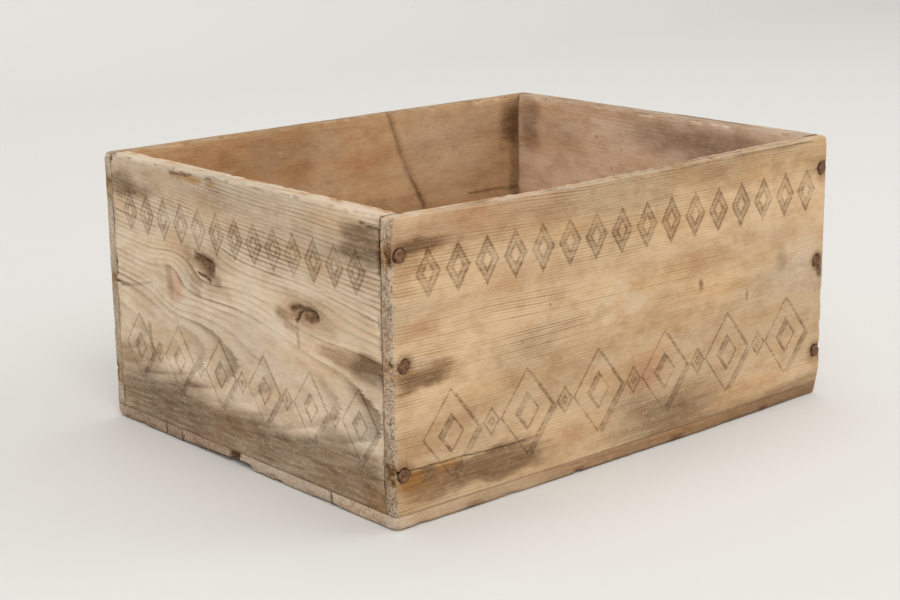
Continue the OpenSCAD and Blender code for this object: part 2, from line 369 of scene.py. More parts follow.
def ringCount(board, g, grain):
    # rings counted outward from the pith: distance to an axis along the grain that drifts with length,
    # rings wider near the pith, sampled at places drawn in towards each knot so that lines part round it
    along, down, _ = np.moveaxis(grain, -1, 0)
    h = g["h"]
    for x, d, halfX, halfD in board["knots"]:
        near = np.hypot((along - x) / (knotReach[0] * halfX), (down - d) / (knotReach[1] * halfD))
        h = h - knotPull * np.exp(-near ** 2) * (d - down)
    log = board["log"]
    pithT, pithH = (np.interp(g["a"] / g["size"][0], [0, 1], log[axis]) for axis in ("depth", "height"))
    drift = log["wave"] * (fractal(grain, (170, 60, 60), board["seed"], 3) - 0.5)
    ripple = 0.7 * (noise(grain, (46, 12, 12), board["seed"] + 3) - 0.5)
    r = np.hypot(g["t"] - pithT, h - pithH + drift) + ripple
    return r / log["ring"] - log["juvenile"] * (1 - np.exp(-r / pithReach))


def atLeast(layers, **amounts):  # raise layers to these amounts where they are lower
    for name, amount in amounts.items():
        layers[name] = np.maximum(layers[name], amount)


def stainLayers(board, g, where, grain):
    # each stain is a rounded box with a soft edge that runs further along some fibres than others
    along, down, _ = np.moveaxis(grain, -1, 0)
    layers = {name: 0 * along for name in ("dirt", "rust", "pale", "warm", "dark", "calm", "flush")}
    ragged = fractal(grain, (22, 10, 10), board["seed"] + 11, 4) - 0.5
    fibres = fractal(grain, (60, 1.8, 6), board["seed"] + 13, 2) - 0.5
    inner = ease(0.4, 0.6, g["t"] / g["size"][1])
    here = {"out": 1 - inner, "in": inner}
    for (layer, side), stains in board["stains"].items():
        for x, d, halfX, halfD, soft, amount in stains:
            run = min(stainRun, halfX) * (0.7 * ragged + board["streak"] * fibres)
            u = abs(along - x + run) / halfX
            v = abs(down - d + stainSway * ragged * min(1, halfD / 10)) / halfD
            mask = ease(1 + soft, 1 - soft, (u ** 3 + v ** 3) ** (1 / 3)) * here[side]
            layers[layer] = 1 - (1 - layers[layer]) * (1 - amount * mask)
    for layer in layers:
        for side in here:
            atLeast(layers, **{layer: here[side] * strokeLayer(board, layer, side, where)})
    # cracks, hollows and rim splits darkened: painted shade in the grooves, partly dirt and dark knot wood
    for layer in ("crack", "hollow"):
        atLeast(layers, dark=grooveShadeAndDark[layer] * strokeLayer(board, layer, "out", where) * here["out"])
    atLeast(layers, dark=grooveShadeAndDark["rim"] * rimStrokes(board, g, where))
    return layers


def generalWear(board, g, points, grain, layers):
    # what every board has: a film of dirt, darker seams and foot, paler rim and knocked edges with a painted
    # highlight on the rim's top, rust round the nails and painted shade in the nail pits; clean is the
    # product of what each kind of dirt leaves
    length, thick, tall = g["size"]
    seed = board["seed"]
    outer = 1 - ease(0.4, 0.6, g["t"] / thick)
    speck = fractal(points, (7, 7, 4), seed + 23, 3)
    film = board["film"] * ease(0.38, 0.72, fractal(grain, (120, 30, 30), seed + 31, 4))
    lowSeam, highSeam = board["seams"]
    seam = np.maximum(lowSeam * ease(2, 0.2, g["h"]), highSeam * ease(2, 0.2, tall - g["h"]))
    if board["face"] in ("left", "right"):
        flat = ease(0.8, 0.4, g["normal"][..., 2])  # not on the rim's top
        toEnd = np.minimum(g["a"], length - g["a"])
        seam = np.maximum(seam, soil["endSeam"] * flat * ease(1.6, 0.2, toEnd))
    foot = board["footDirt"] * ease(26, 2, points[..., 2] + 24 * (speck - 0.5)) * outer
    clean = (1 - layers["dirt"]) * (1 - film) * (1 - soil["seam"] * seam) * (1 - foot)
    if board["face"] != "under":
        edge, opened = edgeNear(board, g)
        rimTop = ease(0.3, 0.8, g["normal"][..., 2])
        # on some boards the rim's top is made darker
        clean = clean * (1 - board["rimTopDarkening"] * rimTop)
        chips = ease(0.6, 0.72, fractal(points, (8, 8, 4), seed + 37, 3)) * ease(2.5, 0.6, edge) * opened
        # the rim's top, turned up to the light, is made paler: partly worn wood, partly a painted highlight
        atLeast(layers, pale=board["rimPaleAndHighlight"] * rimTop * ease(0.25, 0.6, speck), dark=soil["chip"] * chips)
        atLeast(layers, pale=soil["edgePale"] * ease(3.5, 0.5, edge) * opened * ease(0.3, 0.7, speck))
    layers["dirt"] = 1 - clean
    for away, headR in boardNails(board, points):
        near = away + 5 * (speck - 0.5)
        atLeast(layers, rust=soil["nailRust"] * ease(12, 4, near) * outer,
                warm=soil["nailWarm"] * ease(14, 5, near) * g["wallEnd"],
                dirt=soil["nailDirt"] * ease(11, 5, near + 9 * (speck - 0.5)) * g["wallEnd"],
                dark=soil["crumbs"] * g["crumbs"] * ease(13, 6, near) * g["wallEnd"])
        # a dark ring in the pit round each nail head: painted shade of the gap
        atLeast(layers, dark=soil["pit"] * ease(headR + 1.1, headR + 0.2, away + g["torn"]) * outer)


# Print

lozengeRows = {  # rows of plain lozenges, in mm on the face: middle down from the rim, copies within a span
    "front": [
        dict(down=38, half=(9.6, 15), pitch=24.4, span=(16, 408), ring=4.4, line=1.7, tint=0.85),
        dict(down=145, half=(23, 29), pitch=66, span=(12, 410), ring=10, line=1.4, shadow=(4.4, 2.4)),
        dict(down=145, half=(7, 9), pitch=66, span=(45, 380), ring=4, line=1.4, tint=0.4),
        dict(down=90, half=(30, 19), pitch=60, span=(166, 228), ring=9, paint=0.34),
    ],
    "left": [
        dict(down=39, half=(8.6, 14), pitch=21.6, span=(16, 312), ring=4.2, line=1.6, tint=0.7),
        dict(down=138, half=(18, 24), pitch=51, span=(12, 320), ring=8.5, line=1.3, shadow=(3.6, 2)),
        dict(down=138, half=(5.4, 7.5), pitch=51, span=(37, 295), ring=3.4, line=1.3, tint=0.4),
        dict(down=96, half=(24, 16), pitch=48, span=(164, 214), ring=8, paint=0.24),
    ],
}


# Materials

def tone(red, green, blue):  # a colour as seen, 0..255, to the linear value that the shader takes
    c = np.array([red, green, blue]) / 255
    return (*np.where(c <= 0.04045, c / 12.92, ((c + 0.055) / 1.055) ** 2.4).tolist(), 1.0)


class Wiring:  # shorthand for one material: each method adds a node and returns what it gives
    def __init__(self, name):
        self.material = bpy.data.materials.new(name)
        self.material.use_nodes = True
        self.nodes, self.links = self.material.node_tree.nodes, self.material.node_tree.links

    def fill(self, node, values):  # link or set inputs
        for key, value in values.items():
            if isinstance(value, bpy.types.NodeSocket):
                self.links.new(value, node.inputs[key])
            else:
                node.inputs[key].default_value = value

    def add(self, kind, values, output=0, **settings):  # any node
        node = self.nodes.new("ShaderNode" + kind)
        for name, value in settings.items():
            setattr(node, name, value)
        self.fill(node, values)
        return node.outputs[output]

    def math(self, operation, a, b=0.0, clamp=False):  # of one or two values
        return self.add("Math", {0: a, 1: b}, operation=operation, use_clamp=clamp)

    def times(self, product, *others):  # all of them multiplied
        for other in others:
            product = self.math("MULTIPLY", product, other)
        return product

    def band(self, value, low, high, outLow=0.0, outHigh=1.0):  # eased step from outLow to outHigh
        values = dict(enumerate((value, low, high, outLow, outHigh)))
        return self.add("MapRange", values, interpolation_type="SMOOTHSTEP")

    def mix(self, amount, a, b, mode="MIX"):  # colour a, and b laid over it by amount
        return self.add("Mix", {0: amount, 6: a, 7: b}, 2, data_type="RGBA", blend_type=mode)

    def attribute(self, name, output):  # what the mesh stores
        return self.add("Attribute", {}, output, attribute_name=name)

    def split(self, vector):  # its three parts
        return self.add("SeparateXYZ", {0: vector}, slice(0, 3))

    def noise(self, vector, cell, detail, rough=0.55, shift=0.0, turn=0.0):  # with cells of that size, in mm
        scale = (1 / np.broadcast_to(cell, 3)).tolist()
        turns = (turn, 0.7 * turn, 1.3 * turn)
        values = {"Vector": vector, "Scale": scale, "Location": [shift] * 3, "Rotation": turns}
        values = {"Vector": self.add("Mapping", values), "Scale": 1.0, "Detail": detail, "Roughness": rough}
        return self.add("TexNoise", values, "Fac")

    def finish(self, colour, roughness, specular, relief=None, deep=0):  # bumps stand as many mm as deep says
        values = {"Base Color": colour, "Roughness": roughness, "Specular IOR Level": specular}
        if relief is not None:
            values["Normal"] = self.add("Bump", {"Distance": deep * mm, "Strength": 0.7, "Height": relief})
        self.fill(self.nodes["Principled BSDF"], values)
        return self.material


def lozengeRow(w, row, along, down):
    # signed distance to the nearest lozenge of a row: a triangle wave folds the row onto one lozenge,
    # the distance to its slanted edge is (x*hd + y*hx - hx*hd) / hypot(hx, hd), and |d + ring/2| - ring/2
    # hollows it into a ring; ink lies on the ring's outline, shade where a shifted ring shows beside it,
    # and bands a fraction of a millimetre wide soften all edges
    halfX, halfD = row["half"]
    low, high = row["span"]
    pitch, ring = row["pitch"], row["ring"]
    count = max(1, int((high - low) // pitch))
    first = low + (high - low - (count - 1) * pitch) / 2

    def distance(shiftX, shiftD):  # of the row moved by these
        x = w.math("PINGPONG", w.math("SUBTRACT", along, first + shiftX), pitch / 2)
        y = w.math("ABSOLUTE", w.math("SUBTRACT", down, row["down"] + shiftD))
        slant = w.math("ADD", w.times(x, halfD), w.times(y, halfX))
        d = w.math("DIVIDE", w.math("SUBTRACT", slant, halfX * halfD), math.hypot(halfX, halfD))
        return w.math("SUBTRACT", w.math("ABSOLUTE", w.math("ADD", d, ring / 2)), ring / 2)

    start, end = first - pitch / 2, first + (count - 0.5) * pitch
    inside = w.times(w.band(along, start, start + 0.5), w.band(along, end, end + 0.5, 1.0, 0.0))
    main = distance(0, 0)
    body = w.times(w.band(main, -0.4, 0.4, 1.0, 0.0), inside)
    if "paint" in row:
        return 0.0, 0.0, w.times(body, row["paint"])
    outline = w.band(w.math("ABSOLUTE", main), 0.3 * row["line"], 0.75 * row["line"], 1.0, 0.0)
    ink = w.times(outline, inside)
    if "shadow" in row:
        cast = w.band(distance(*row["shadow"]), -0.3, 0.3, 1.0, 0.0)
        return ink, w.times(cast, w.band(main, 0.0, 0.6), inside), 0.0
    return ink, w.times(body, row["tint"]), 0.0


woodNoise = {  # cell in mm along, across and into the board, then detail, roughness, shift and turn
    "fine": ((60, 1.6, 1.6), 4),
    "patches": ((90, 30, 30), 2),
    "mottle": ((24, 14, 14), 6, 0.68, 3.7),
    "warmth": ((120, 34, 34), 5, 0.6, 9.1),
    "fibres": ((16, 0.8, 0.8), 5, 0.7),
    "flecks": ((2.6, 1.5, 1.5), 4, 0.8, 5.3, 0.1),
    "scuffs": ((3.6, 2.4, 2.4), 6, 0.8, 8.3, 0.3),
    "grit": (1.7, 5, 0.8, 1.9, 0.6),
    "cells": ((7, 7, 5), 5, 0.65, 2.9, 0.5),
    "salt": (1.3, 3, 0.8, 6.1, 0.9),
    "crumbs": ((2.4, 1.4, 1.4), 5, 0.75, 4.4, 0.4),
}
woodCover = [  # tone, noise, the band of it that shows, the most it covers and how it is laid over
    ("blotch", "mottle", (0.4, 0.68), 0.75, "MULTIPLY"),
    ("glow", "warmth", (0.45, 0.68), 0.7, "MULTIPLY"),
    ("fibre", "fibres", (0.48, 0.72), 0.55, "MULTIPLY"),
    ("fleck", "flecks", (0.62, 0.71), 0.65, "MIX"),
    ("scuff", "scuffs", (0.57, 0.73), 0.65, "MIX"),
]


def agedPine(name, look):
    # growth rings in two tones, then layers laid over in turn; a mask is a band of noise or an attribute
    w = Wiring(name)
    shades = {key: tone(*value) for key, value in look["tones"].items()}
    place = w.attribute("boardMap", "Vector")
    along, down, depth = w.split(place)
    endGrain, inside, calm = w.split(w.attribute("zones", "Color"))
    darkAndPaintedShade = w.attribute("zones", "Alpha")
    dirt, rust, pale = w.split(w.attribute("stains", "Color"))
    warm = w.attribute("stains", "Alpha")
    seen = {key: w.noise(place, *setting) for key, setting in woodNoise.items()}
    mottle, scuffs = seen["mottle"], seen["scuffs"]
    # each ring fades in from pale spring wood to a dark late line and stops sharply
    waver = w.times(w.math("SUBTRACT", seen["fine"], 0.5), 0.45)
    ring = w.math("ADD", w.attribute("ringCount", "Fac"), waver)
    phase = w.math("FRACT", ring)
    late = w.times(w.band(phase, 0.35, 0.9), w.band(phase, 0.9, 1.0, 1.0, 0.0))
    each = w.add("TexWhiteNoise", {"W": w.math("FLOOR", ring)}, "Value", noise_dimensions="1D")
    strength = w.times(w.band(each, 0, 1, 0.35), w.band(seen["patches"], 0.32, 0.68, 0.2))
    strength = w.times(strength, w.band(calm, 0, 1, 1.0, 0.25))
    lines = w.times(late, w.times(strength, look["lines"]))
    early = w.mix(inside, shades["early"], shades["insideEarly"])
    colour = w.mix(lines, early, w.mix(inside, shades["late"], shades["insideLate"]))

    def cover(shade, mask, mode="MIX"):  # lay a tone over
        nonlocal colour
        colour = w.mix(mask, colour, shades[shade], mode)

    def tint(shade, *masks):  # darken by a tone
        cover(shade, w.times(*masks), "MULTIPLY")

    # mottling, fibres, pores and pale scuffs
    for shade, key, shown, most, mode in woodCover:
        cover(shade, w.band(seen[key], *shown, 0.0, most), mode)
    # end grain: grey, with open pores and pale fibre ends
    endTone = w.mix(w.band(seen["cells"], 0.35, 0.65), shades["endGrey"], shades["endPale"])
    endTone = w.mix(w.band(seen["grit"], 0.48, 0.62), endTone, shades["endDark"])
    endTone = w.mix(w.times(late, 0.08), endTone, shades["endDark"])
    endTone = w.mix(w.band(seen["salt"], 0.54, 0.66, 0.0, 0.9), endTone, shades["endSalt"])
    colour = w.mix(w.times(endGrain, 0.92), colour, endTone)
    # stains, finely streaked along the grain; the pale stains hold the rim top's painted highlight too, and
    # the dirt the rim top's darkening
    cloud = w.noise(place, look["cloud"], 5, 0.65, 7.7)
    ragged = w.times(w.band(cloud, 0.28, 0.72, 0.8, 1.12), w.band(scuffs, 0.5, 0.7, 1.05, 0.6))
    cover("pale", w.math("MULTIPLY", pale, w.band(scuffs, 0.35, 0.65, 0.55, 1.1), True))
    tint("warm", w.math("MULTIPLY", warm, ragged, True))
    tint("flush", w.attribute("flush", "Fac"))
    tint("rust", w.math("MULTIPLY", rust, ragged, True))
    tint("dirt", w.math("MULTIPLY", dirt, ragged, True))
    # faded print, rubbed off in patches and along the grain
    if look["rows"]:
        marks = [0.0, 0.0, 0.0]
        for row in look["rows"]:
            marks = [w.math("MAXIMUM", *pair) for pair in zip(marks, lozengeRow(w, row, along, down))]
        ink, shade, paint = marks
        rubbed = w.times(w.band(mottle, 0.36, 0.6, 0.45), w.band(scuffs, 0.4, 0.62, 1.0, 0.45))
        outside = w.times(w.band(depth, 0.4, 1.2, 1.0, 0.0), rubbed, look["printFade"])
        cover("paint", w.times(paint, w.band(mottle, 0.42, 0.6, 1.0, 0.1), outside))
        tint("shade", shade, outside)
        tint("ink", ink, outside)
    # knots, cracks and chips, with painted shade in cracks, hollows and nail pits, uneven at the size of the
    # fibres
    cover("dark", w.math("MULTIPLY", darkAndPaintedShade, w.band(seen["crumbs"], 0.36, 0.64, 1.2, 0.55), True))
    # late lines and fibres stand out, grit on the ends, and scuffs everywhere
    relief = w.math("ADD", w.times(lines, 0.6), w.times(seen["fibres"], 0.9))
    relief = w.times(relief, w.math("SUBTRACT", 1.0, endGrain))
    relief = w.math("ADD", relief, w.times(seen["grit"], endGrain, 1.8))
    relief = w.math("ADD", relief, w.times(scuffs, 0.7))
    return w.finish(colour, w.band(mottle, 0.3, 0.7, 0.95, 0.8), 0.2, relief, 0.4)


# Boards

plainTones = {  # shared by all boards, as seen
    "blotch": (226, 214, 200), "glow": (246, 230, 208), "fibre": (216, 203, 190), "fleck": (128, 102, 78),
    "scuff": (218, 202, 178), "endDark": (84, 64, 47), "endGrey": (174, 147, 119), "endPale": (207, 184, 156),
    "endSalt": (236, 222, 202), "pale": (216, 203, 182), "warm": (232, 200, 146), "flush": (226, 192, 182),
    "rust": (168, 146, 121), "dirt": (142, 132, 121), "dark": (76, 46, 24), "ink": (184, 174, 163),
    "shade": (194, 190, 189), "paint": (226, 214, 196), "insideEarly": (200, 164, 123),
    "insideLate": (170, 132, 94),
}
sideTones = {**plainTones, "early": (215, 185, 147), "late": (154, 125, 93), "dirt": (140, 132, 126)}
endTones = {**plainTones, "early": (234, 213, 185), "late": (150, 126, 100)}
# the right end's inner face lies in shade, so its inside tones are made lighter than the others': painted
# light
rightTones = {**endTones, "insideEarly": (231, 204, 178), "insideLate": (207, 177, 151)}
bottomTones = {**plainTones, "early": (204, 171, 136), "late": (166, 134, 102), "endGrey": (197, 166, 139),
               "endPale": (218, 193, 167), "endDark": (134, 110, 90), "endSalt": (226, 209, 188)}
sideLook = {"tones": sideTones, "lines": 0.9, "cloud": (26, 1.5, 1.5),
            "rows": lozengeRows["front"], "printFade": 1.0}
endLook = {"tones": endTones, "lines": 1.0, "cloud": (24, 2.6, 2.6),
           "rows": lozengeRows["left"], "printFade": 0.9}
bottomLook = {**sideLook, "tones": bottomTones, "lines": 0.6, "rows": []}
sideEdges = {"outerTop": 2.4, "innerTop": 1.2, "outerFoot": 0.5, "innerFoot": 0.45, "end": 0.5, "turns": 5,
             "corners": [((0, 0), (1, 0), 3.2), ((0, 1), (1, 0), 3.2),
                         ((0, 0), (2, 1), 3.0), ((0, 1), (2, 1), 5.0)]}
endEdges = {**sideEdges, "end": 0.2, "corners": []}
wallSteps = {"outer": 1.5, "inner": 3, "rim": 1.1, "along": 1.5, "cap": 6,
             "fineAlong": [(7, 8, 0.7), (-7, 8, 0.7)], "fineUp": [], "fineInner": []}
wall = {"up": (0, 0, 1), "shape": None, "nails": [], "knots": [], "rimTopDarkening": 0}
sideBoard = {**wall, "slot": "side_wood", "edges": sideEdges, "streak": 0.7}
endBoard = {**wall, "slot": "end_wood", "edges": endEdges, "streak": 0.2}

# stains are (along, down, half along, half down, softness, amount) on a face, by layer and side of the board;
# strokes are (width at the start and the end, amount, places (along, down)), on the rim places (along, depth)

frontSide = {
    **sideBoard, "node": "front_side", "face": "front", "seed": 101, "along": (1, 0, 0), "inward": (0, 1, 0),
    "shape": wornFront, "nails": ["nails_front_left", "nails_front_right"], "look": sideLook,
    "steps": {**wallSteps, "fineUp": [(27, 5, 0.6), (96, 6, 0.8), (166, 5, 0.8)]},
    "log": {"depth": (38, 30), "height": (-118, -124), "ring": 2.05, "juvenile": 0, "wave": 5},
    "film": 0.26, "footDirt": 0.1, "seams": (0.55, 0), "rimPaleAndHighlight": 0.55,
    "rim": [(0.8, 1.2, 1, (205, 5.5), (250, 4.6), (292, 4)), (1.2, 0.7, 1, (286, 3.2), (330, 3.8), (372, 3)),
            (0.7, 0.5, 0.8, (60, 6), (96, 5.4)), (0.8, 0.6, 0.8, (352, 6.5), (404, 6)),
            *((2.2, 1.6, 0.85, (x, 8.2), (x + 5 + x % 4, 8.6)) for x in range(96, 330, 13))],
    "strokes": {
        ("crack", "out"): [(0.8, 0.4, 0.65, (10, 162), (28, 162.4), (53, 163), (85, 164.5), (110, 165))],
        ("hollow", "out"): [(1.6, 1.4, 1, (-1, 158), (2, 161), (5, 162))],
        # the dark dots are wormholes and a hole near the right end, painted dark with no hollow: painted
        # shade of the holes
        ("dark", "out"): [
            (1.5, 1.2, 0.9, (-1, 158.5), (3, 161)), (0.9, 0.9, 0.8, (107, 97), (107.4, 97.2)),
            (0.9, 0.9, 0.8, (133, 77), (133.4, 77)), (2.4, 2, 0.6, (280, 88), (280.6, 91)),
            (1.6, 1.2, 0.7, (331, 103), (331.5, 110)), (6, 6.5, 0.8, (412, 92), (414, 103)),
        ],
        ("rust", "out"): [
            (4, 4, 0.5, (280, 88), (280.6, 92)), (2, 8, 0.1, (290, 192), (350, 189), (416, 187)),
        ],
        ("dirt", "out"): [
            (2, 9, 0.34, (270, 192), (340, 189), (416, 186)),
            (1, 1, 0.8, (217, 5), (277, 3.5), (341, 2.6), (400, 2.2)),
        ],
        ("dark", "in"): [(1.6, 1.3, 0.9, (-1, 156.5), (2, 157.5))],
    },
    "stains": {
        ("rust", "out"): [
            (30, 21, 27, 5, 0.45, 0.6), (13, 25, 11, 10, 0.7, 0.5), (25, 104.5, 24, 9.5, 0.3, 0.75),
            (64, 174, 58, 11, 0.22, 0.68), (408, 98, 12, 12, 0.8, 0.25), (408, 22, 12, 9, 0.8, 0.45),
        ],
        ("dirt", "out"): [
            (22, 21, 20, 4.5, 0.4, 0.5), (24, 105, 18, 5, 0.5, 0.5), (78, 173, 42, 9, 0.45, 0.45),
            (27, 168, 6, 4, 0.6, 0.5), (250, 176, 46, 14, 0.7, 0.65), (362, 190, 90, 5, 0.5, 0.25),
            (368, 84, 5, 9, 0.8, 0.35), (90, 10, 100, 14, 0.9, 0.3), (310, 10, 120, 12, 0.9, 0.28),
            (180, 22, 60, 30, 0.9, 0.16), (150, 62, 160, 8, 0.9, 0.1), (330, 70, 60, 10, 0.9, 0.15),
        ],
        ("calm", "out"): [(352, 90, 84, 96, 0.5, 0.65), (210, 152, 215, 36, 0.3, 0.8)],
        ("pale", "out"): [(27, 95, 13, 3.5, 0.4, 0.15), (385, 92, 26, 22, 0.9, 0.45)],
        ("warm", "out"): [
            (16, 169, 7, 5, 0.8, 1), (9, 173, 6, 4, 0.8, 0.8), (42, 165, 10, 3.5, 0.8, 0.8),
            (30, 174, 14, 5, 0.9, 0.4),
        ],
        ("flush", "out"): [
            (225, 143, 18, 12, 0.8, 0.6), (24, 72, 12, 6, 0.8, 0.5), (60, 10, 60, 12, 0.9, 0.4),
        ],
        ("dark", "out"): [(416, 22, 5, 4, 0.5, 0.6)],
    },
}

leftEnd = {
    **endBoard, "node": "left_end", "face": "left", "seed": 211, "along": (0, -1, 0), "inward": (1, 0, 0),
    "steps": {**wallSteps, "cap": 1, "fineAlong": [(115, 18, 0.85), (228, 22, 0.85), (306, 6, 0.8)],
              "fineUp": [(122, 17, 0.85)]},
    "log": {"depth": (110, 126), "height": (62, 60), "ring": 2, "juvenile": 0, "wave": 9},
    "knots": [(125, 65, 13, 10), (240, 76, 17, 8), (87, 84, 9, 11)], "look": endLook,
    "film": 0.16, "footDirt": -0.7, "seams": (0.9, 0), "rimPaleAndHighlight": 0.75,  # its foot is rubbed cleaner
    "rim": [(0.8, 0.6, 0.8, (180, 7), (236, 8.5))],
    "strokes": {
        ("hollow", "out"): [
            (1, 2, 1, (10, 95), (18, 96)), (2, 0.6, 1, (16, 96), (26, 94)),
            (2.4, 3.6, 1, (317.4, 9), (316.6, 26), (317.2, 36)),
            (0.8, 2, 0.9, (88, 4.4), (95, 3), (100, 3.4)),
            (2.2, 0.8, 0.9, (101, 2.8), (107, 3.2), (114, 2.6)),
            (0.8, 1.8, 0.8, (128, 3.4), (133, 2.6), (138, 3.4)),
            (5, 9, 1, (117, 58), (125, 60.5), (133, 63)),
            (3.2, 5.5, 1, (226, 75), (234, 72.5), (244, 73), (250, 75)),
            # the next stroke is the second knot's painted shadow below it, carved as a shallow hollow too
            (3.2, 4.5, 0.9, (240, 77.5), (246, 78.5), (251, 77)),
        ],
        ("dirt", "out"): [
            (1.6, 1, 0.6, (24, 95), (40, 92), (58, 87)), (6, 5, 0.4, (111, 81), (118, 85)),
            (8, 5, 0.4, (132, 69), (143, 72)), (8, 6, 0.3, (105, 56), (112, 63)),
            (4, 2.5, 0.4, (231, 87), (232, 99)), (7, 4, 0.2, (254, 78), (270, 83)),
            (4, 3, 0.5, (52, 120), (54, 140), (52, 160), (50, 178)),
        ],
        ("crack", "out"): [
            (0.7, 1.3, 0.9, (297, 6.5), (306, 8), (314, 8.5), (319, 10)),
            (0.5, 0.9, 0.6, (294, 37), (318, 35.5)), (0.8, 1.8, 0.9, (118, 57), (127, 58.5), (136, 61.5)),
            (1.2, 2.4, 0.95, (118, 70), (126, 71.5), (132, 73.5)),
            (0.8, 1.6, 0.9, (242, 71), (247, 73), (252, 76)),
            (1.3, 1.9, 1, (238, 73), (234, 77.5), (230, 82.5)),
        ],
        ("warm", "out"): [(3, 5, 0.8, (90, 5), (124, 5)), (3, 2, 0.7, (134, 6), (142, 5))],
        ("rust", "out"): [
            (11, 13, 0.75, (119, 61), (133, 64)), (6, 5, 0.6, (112, 74), (121, 77)),
            (5, 5, 0.4, (106, 66), (112, 70)), (11, 10, 0.75, (229, 75), (248, 77)),
            (8, 6, 0.6, (213, 80), (225, 81)), (5, 5, 0.6, (219, 86), (227, 88)),
        ],
        ("pale", "out"): [(5, 3.5, 0.6, (100, 70), (103, 80), (104, 98))],
    },
    "stains": {
        ("rust", "out"): [
            (126, 64, 24, 13, 0.8, 0.45), (240, 76, 20, 10, 0.8, 0.5), (81, 80, 4, 10, 0.6, 0.45),
            (302, 22, 22, 12, 0.5, 0.3), (288, 97, 32, 6.5, 0.3, 0.6), (90, 178, 40, 12, 0.8, 0.3),
        ],
        ("flush", "out"): [(88, 84, 8, 11, 0.6, 0.65)],
        ("dirt", "out"): [
            (25, 20, 16, 7.5, 0.4, 0.75), (46, 21.5, 16, 4.5, 0.6, 0.6), (300, 23, 24, 12, 0.3, 0.7),
            (276, 28, 20, 9, 0.8, 0.28), (303, 100, 18, 7.5, 0.4, 0.7), (164, 186, 175, 25, 0.3, 0.84),
            (196, 163, 34, 8, 0.6, 0.5), (96, 158, 26, 10, 0.5, 0.55), (40, 168, 34, 18, 0.7, 0.5),
            (262, 168, 40, 8, 0.6, 0.4), (48, 154, 16, 14, 0.8, 0.45), (20, 156, 12, 18, 0.9, 0.3),
            (146, 163, 16, 8, 0.7, 0.6), (275, 158, 22, 9, 0.6, 0.6), (303, 166, 16, 10, 0.6, 0.7),
            (304, 70, 18, 60, 0.9, 0.1), (90, 9, 110, 11, 0.9, 0.34), (210, 22, 90, 22, 0.9, 0.16),
            (100, 30, 110, 26, 0.9, 0.14),
        ],
        ("calm", "out"): [
            (164, 182, 175, 26, 0.3, 0.75), (70, 10, 80, 18, 0.6, 0.8), (298, 24, 30, 16, 0.5, 0.7),
        ],
        ("pale", "out"): [
            (300, 140, 14, 12, 0.7, 0.5), (283, 74, 20, 14, 0.9, 0.35), (176, 88, 8, 22, 0.9, 0.4),
            (206, 92, 7, 20, 0.9, 0.35), (150, 112, 90, 22, 0.9, 0.25), (164, 2, 170, 4, 0.8, 0.35),
        ],
        ("warm", "out"): [(310, 185, 12, 8, 0.8, 0.6)],
    },
}

backSide = {
    **sideBoard, "node": "back_side", "face": "back", "seed": 307, "along": (-1, 0, 0), "inward": (0, -1, 0),
    "nails": ["nails_back_left", "nails_back_right"], "look": {**sideLook, "printFade": 0.5},
    "steps": {**wallSteps, "outer": 1.9, "inner": 1.8, "along": 1.8},
    "log": {"depth": (46, 40), "height": (-90, -84), "ring": 2.4, "juvenile": 0, "wave": 7},
    "film": 0.3, "footDirt": 0.3, "seams": (0.7, 0), "rimPaleAndHighlight": 0.2, "rimTopDarkening": 0.4,
    "rim": [(0.8, 0.6, 0.8, (120, 5), (180, 4.4))],
    "strokes": {
        # a diagonal crack inside: the wide dirt stroke along it is partly its painted shadow, the rust
        # strokes its dark line, and the pale stroke a painted highlight beside it
        ("dirt", "in"): [(5, 8, 0.3, (160, 0), (154, 15), (147, 36), (136, 58), (123, 82), (112, 100))],
        ("rust", "in"): [
            (1.6, 2.4, 0.5, (161, 0), (155, 15), (148, 36)), (2.4, 2, 0.3, (148, 36), (142, 48), (137, 58)),
            (2.2, 3.4, 0.75, (138, 56), (130, 70), (124, 82)),
        ],
        ("pale", "in"): [(4, 7, 0.16, (150, 14), (141, 36), (129, 60))],
        ("dark", "in"): [(1.2, 1.8, 0.7, (74, 78), (38, 79), (17, 80))],
    },
    "stains": {
        ("pale", "out"): [(421, 100, 9, 110, 0.3, 0.4)],
        ("dirt", "out"): [(60, 175, 60, 16, 0.5, 0.5), (330, 180, 90, 14, 0.6, 0.45)],
        ("rust", "out"): [(30, 160, 26, 8, 0.5, 0.6)],
        ("dirt", "in"): [
            (22, 22, 12, 14, 0.7, 0.68), (20, 62, 6, 42, 0.6, 0.6), (300, 30, 60, 26, 0.9, 0.22),
            (252, 20, 10, 36, 0.9, 0.16),
        ],
        ("rust", "in"): [(24, 24, 12, 18, 0.7, 0.5)],
        ("pale", "in"): [
            (95, 34, 46, 30, 0.9, 0.28), (226, 30, 16, 40, 0.9, 0.16), (282, 26, 12, 40, 0.9, 0.14),
            (421, 100, 9, 110, 0.3, 0.4),
        ],
        ("calm", "in"): [(210, 100, 230, 120, 0.2, 0.75)],
    },
}

